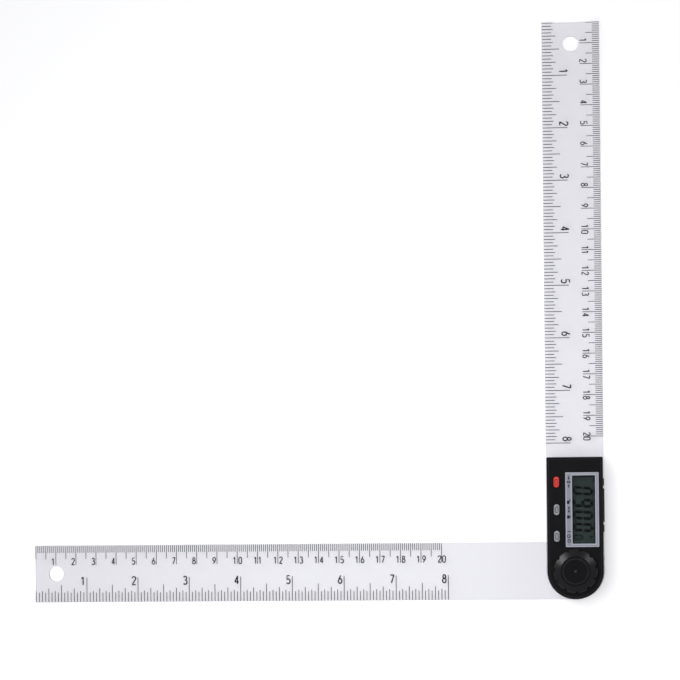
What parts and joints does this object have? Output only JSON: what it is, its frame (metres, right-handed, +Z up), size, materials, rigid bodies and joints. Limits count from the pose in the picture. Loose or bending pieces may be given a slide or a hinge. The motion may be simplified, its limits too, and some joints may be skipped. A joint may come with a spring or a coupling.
{
  "type": "angle finder with arms",
  "caption": "Digital angle finder: two clear ruled arms on one pivot, a display head on the upper arm and a lock knob over the pivot.",
  "frame": {"origin": "on the pivot's axis, at the underside of the lower blade, where the tool rests", "axes": "+Z up along the pivot; the lower arm lies along -X, the upper arm and the display head along +Y, 90 degrees apart"},
  "size_m": [0.2791, 0.279, 0.017],
  "materials": {
    "blade_clear": "clear cast acrylic with a faint lavender tint, printed scales",
    "case_black": "black moulded ABS, fine satin texture",
    "knob_black": "black moulded ABS, smoother than the case",
    "bezel_grey": "lavender-grey painted plastic plate",
    "window_clear": "clear polished acrylic window",
    "display_glass": "dark green-grey reflective liquid crystal cell",
    "connector_rubber": "striped elastomer connector",
    "button_red": "red moulded plastic",
    "button_grey": "grey moulded plastic",
    "steel": "turned and plated steel",
    "brass": "turned brass",
    "washer_white": "natural acetal",
    "hub_white": "natural acetal",
    "board_green": "green solder mask on glass epoxy",
    "chip_black": "black epoxy",
    "spring_metal": "plated spring sheet"
  },
  "bodies": {
    "lower_arm": {"lower_blade": "blade_clear", "pivot_stud": "steel", "friction_washer": "washer_white", "rotor_hub": "hub_white", "rotor_disc": "board_green"},
    "head": {"upper_blade": "blade_clear", "pivot_bushing": "brass", "back_plate": "case_black", "front_case": "case_black", "circuit_board": "board_green", "case_screws": "steel", "board_screws": "steel", "controller_chip": "chip_black", "display_bezel": "bezel_grey", "display_window": "window_clear", "lcd_glass": "display_glass", "lcd_connector": "connector_rubber", "switch_bodies": "chip_black", "contact_positive": "spring_metal", "contact_negative": "spring_metal"},
    "zero_button": {"zero_button": "button_red", "zero_plunger": "washer_white"},
    "hold_button": {"hold_button": "button_grey", "hold_plunger": "washer_white"},
    "power_button": {"power_button": "button_grey", "power_plunger": "washer_white"},
    "battery_drawer": {"battery_drawer": "case_black", "coin_cell": "steel"},
    "thrust_washer": {"thrust_washer": "washer_white"},
    "lock_knob": {"lock_knob": "knob_black", "knob_insert": "brass", "knob_cap": "knob_black"}
  },
  "joints": [
    {"name": "head_turn", "type": "hinge", "parent": "lower_arm", "child": "head", "pos_m": [0, 0, 0], "axis": [0, 0, 1], "continuous": true},
    {"name": "knob_lift", "type": "slide", "parent": "lower_arm", "child": "thrust_washer", "axis": [0, 0, 1], "range_m": [0, 0.0006]},
    {"name": "knob_turn", "type": "hinge", "parent": "thrust_washer", "child": "lock_knob", "pos_m": [0, 0, 0.0154], "axis": [0, 0, 1], "range_deg": [0, 270]},
    {"name": "zero_press", "type": "slide", "parent": "head", "child": "zero_button", "axis": [0, 0, -1], "range_m": [0, 0.00025], "stiffness_N_per_m": 2000},
    {"name": "hold_press", "type": "slide", "parent": "head", "child": "hold_button", "axis": [0, 0, -1], "range_m": [0, 0.00025], "stiffness_N_per_m": 2000},
    {"name": "power_press", "type": "slide", "parent": "head", "child": "power_button", "axis": [0, 0, -1], "range_m": [0, 0.00025], "stiffness_N_per_m": 2000},
    {"name": "drawer_slide", "type": "slide", "parent": "head", "child": "battery_drawer", "axis": [1, 0, 0], "range_m": [0, 0.024]}
  ],
  "couplings": [
    {"joint": "knob_turn", "follows": "knob_lift", "rad_per_m": 7853.9}
  ]
}
